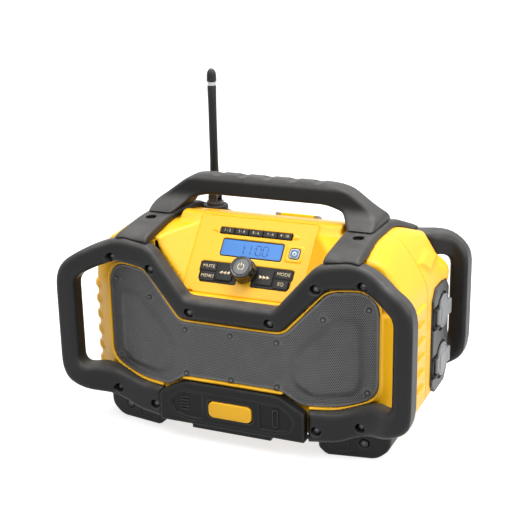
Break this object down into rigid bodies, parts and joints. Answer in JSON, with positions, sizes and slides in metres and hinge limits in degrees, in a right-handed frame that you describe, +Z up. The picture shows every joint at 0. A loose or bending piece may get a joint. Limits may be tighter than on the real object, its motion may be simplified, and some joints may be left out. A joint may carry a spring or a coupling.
{
  "type": "jobsite radio",
  "caption": "Rugged box radio with a tubular roll cage, carry handle, tilted control panel, perforated grille, storage bay, socket flaps and folding antenna.",
  "frame": {"origin": "middle of the footprint on the surface that the feet stand on", "axes": "+Z up, -Y out of the grille, +X to the right of someone facing the grille"},
  "size_m": [0.456, 0.27, 0.427],
  "materials": {
    "body_yellow": "satin moulded",
    "cage_rubber": "soft matt moulding",
    "hard_black": "matt",
    "grille_metal": "perforated, dark grey paint",
    "display": "lit blue window",
    "key_black": "soft keys",
    "pair_grey": "smooth",
    "flap_grey": "satin",
    "steel": "bright",
    "screw_black": "black oxide",
    "alloy": "anodised",
    "board_green": "solder mask",
    "iron": "laminated",
    "cone_paper": "pressed fibre"
  },
  "bodies": {
    "radio": {"front_housing": "body_yellow", "rear_housing": "body_yellow", "control_panel": "body_yellow", "speaker_grille": "grille_metal", "front_cage": "cage_rubber", "rear_cage": "cage_rubber", "handle": "cage_rubber", "saddle_left": "cage_rubber", "saddle_right": "cage_rubber", "foot_front_left": "cage_rubber", "foot_front_right": "cage_rubber", "foot_rear_left": "cage_rubber", "foot_rear_right": "cage_rubber", "display_lens": "display", "display_module": "board_green", "keypad_bezel": "hard_black", "encoder_body": "steel", "keypad_board": "board_green", "main_board": "board_green", "amplifier_board": "board_green", "heat_sink": "alloy", "transformer": "iron", "speaker_left": "steel", "speaker_right": "steel", "storage_bay": "hard_black", "aux_board": "board_green", "battery_bay": "hard_black", "battery_terminals": "steel", "socket_plate": "flap_grey", "socket_modules": "hard_black", "antenna_mount": "hard_black", "mains_inlet": "hard_black", "screws": "screw_black"},
    "mute": {"key_mute": "key_black"},
    "menu": {"key_menu": "key_black"},
    "previous": {"key_prev": "key_black"},
    "next": {"key_next": "key_black"},
    "mode": {"key_mode": "key_black"},
    "equaliser": {"key_eq": "key_black"},
    "preset_one": {"preset_1": "key_black"},
    "preset_two": {"preset_2": "key_black"},
    "preset_three": {"preset_3": "key_black"},
    "preset_four": {"preset_4": "key_black"},
    "preset_five": {"preset_5": "key_black"},
    "pairing": {"pair_button": "pair_grey"},
    "knob_push": {"encoder_plunger": "hard_black"},
    "knob_turn": {"encoder_shaft": "steel", "knob": "hard_black"},
    "cone_left": {"cone_left": "cone_paper"},
    "cone_right": {"cone_right": "cone_paper"},
    "storage_door": {"storage_door": "hard_black"},
    "storage_latch": {"storage_latch": "body_yellow"},
    "battery_door": {"battery_door": "hard_black"},
    "battery_latch": {"battery_latch": "body_yellow"},
    "flap_upper": {"flap_upper": "flap_grey"},
    "flap_lower": {"flap_lower": "flap_grey"},
    "antenna_swivel": {"antenna_knuckle": "hard_black"},
    "antenna_mast": {"antenna_mast": "cage_rubber"}
  },
  "joints": [
    {"name": "mute_press", "type": "slide", "parent": "radio", "child": "mute", "axis": [0, 0.766, -0.6428], "range_m": [0, 0.001], "stiffness_N_per_m": 600, "springref_m": -0.0005},
    {"name": "menu_press", "type": "slide", "parent": "radio", "child": "menu", "axis": [0, 0.766, -0.6428], "range_m": [0, 0.001], "stiffness_N_per_m": 600, "springref_m": -0.0005},
    {"name": "previous_press", "type": "slide", "parent": "radio", "child": "previous", "axis": [0, 0.766, -0.6428], "range_m": [0, 0.001], "stiffness_N_per_m": 600, "springref_m": -0.0005},
    {"name": "next_press", "type": "slide", "parent": "radio", "child": "next", "axis": [0, 0.766, -0.6428], "range_m": [0, 0.001], "stiffness_N_per_m": 600, "springref_m": -0.0005},
    {"name": "mode_press", "type": "slide", "parent": "radio", "child": "mode", "axis": [0, 0.766, -0.6428], "range_m": [0, 0.001], "stiffness_N_per_m": 600, "springref_m": -0.0005},
    {"name": "equaliser_press", "type": "slide", "parent": "radio", "child": "equaliser", "axis": [0, 0.766, -0.6428], "range_m": [0, 0.001], "stiffness_N_per_m": 600, "springref_m": -0.0005},
    {"name": "preset_one_press", "type": "slide", "parent": "radio", "child": "preset_one", "axis": [0, 0.766, -0.6428], "range_m": [0, 0.001], "stiffness_N_per_m": 600, "springref_m": -0.0005},
    {"name": "preset_two_press", "type": "slide", "parent": "radio", "child": "preset_two", "axis": [0, 0.766, -0.6428], "range_m": [0, 0.001], "stiffness_N_per_m": 600, "springref_m": -0.0005},
    {"name": "preset_three_press", "type": "slide", "parent": "radio", "child": "preset_three", "axis": [0, 0.766, -0.6428], "range_m": [0, 0.001], "stiffness_N_per_m": 600, "springref_m": -0.0005},
    {"name": "preset_four_press", "type": "slide", "parent": "radio", "child": "preset_four", "axis": [0, 0.766, -0.6428], "range_m": [0, 0.001], "stiffness_N_per_m": 600, "springref_m": -0.0005},
    {"name": "preset_five_press", "type": "slide", "parent": "radio", "child": "preset_five", "axis": [0, 0.766, -0.6428], "range_m": [0, 0.001], "stiffness_N_per_m": 600, "springref_m": -0.0005},
    {"name": "pairing_press", "type": "slide", "parent": "radio", "child": "pairing", "axis": [0, 0.766, -0.6428], "range_m": [0, 0.001], "stiffness_N_per_m": 600, "springref_m": -0.0005},
    {"name": "knob_push_press", "type": "slide", "parent": "radio", "child": "knob_push", "axis": [0, 0.766, -0.6428], "range_m": [0, 0.0008], "stiffness_N_per_m": 900, "springref_m": -0.0005},
    {"name": "knob_turn", "type": "hinge", "parent": "knob_push", "child": "knob_turn", "pos_m": [0, -0.0684, 0.2077], "axis": [0, -0.766, 0.6428], "continuous": true},
    {"name": "cone_left_stroke", "type": "slide", "parent": "radio", "child": "cone_left", "axis": [-0.2215, -0.9751, 0], "range_m": [-0.002, 0.002], "stiffness_N_per_m": 900},
    {"name": "cone_right_stroke", "type": "slide", "parent": "radio", "child": "cone_right", "axis": [0.2215, -0.9751, 0], "range_m": [-0.002, 0.002], "stiffness_N_per_m": 900},
    {"name": "storage_door_hinge", "type": "hinge", "parent": "radio", "child": "storage_door", "pos_m": [0, -0.113, 0.029], "axis": [1, 0, 0], "range_deg": [0, 90]},
    {"name": "storage_latch_press", "type": "slide", "parent": "storage_door", "child": "storage_latch", "axis": [0, 1, 0], "range_m": [0, 0.0025], "stiffness_N_per_m": 800, "springref_m": -0.0005},
    {"name": "battery_door_hinge", "type": "hinge", "parent": "radio", "child": "battery_door", "pos_m": [0, 0.115, 0.064], "axis": [-1, 0, 0], "range_deg": [0, 100]},
    {"name": "battery_latch_hinge", "type": "hinge", "parent": "battery_door", "child": "battery_latch", "pos_m": [0, 0.1155, 0.219], "axis": [-1, 0, 0], "range_deg": [0, 70]},
    {"name": "flap_upper_hinge", "type": "hinge", "parent": "radio", "child": "flap_upper", "pos_m": [0.21, 0.0305, 0.143], "axis": [0, 0, -1], "range_deg": [0, 105], "stiffness_Nm_per_rad": 0.02, "springref_deg": -20.05},
    {"name": "flap_lower_hinge", "type": "hinge", "parent": "radio", "child": "flap_lower", "pos_m": [0.21, 0.0305, 0.079], "axis": [0, 0, -1], "range_deg": [0, 105], "stiffness_Nm_per_rad": 0.02, "springref_deg": -20.05},
    {"name": "antenna_swivel", "type": "hinge", "parent": "radio", "child": "antenna_swivel", "pos_m": [-0.102, 0.064, 0.25], "axis": [0, 0, 1], "range_deg": [-180, 180]},
    {"name": "antenna_fold", "type": "hinge", "parent": "antenna_swivel", "child": "antenna_mast", "pos_m": [-0.102, 0.064, 0.261], "axis": [0, 1, 0], "range_deg": [0, 85]}
  ]
}
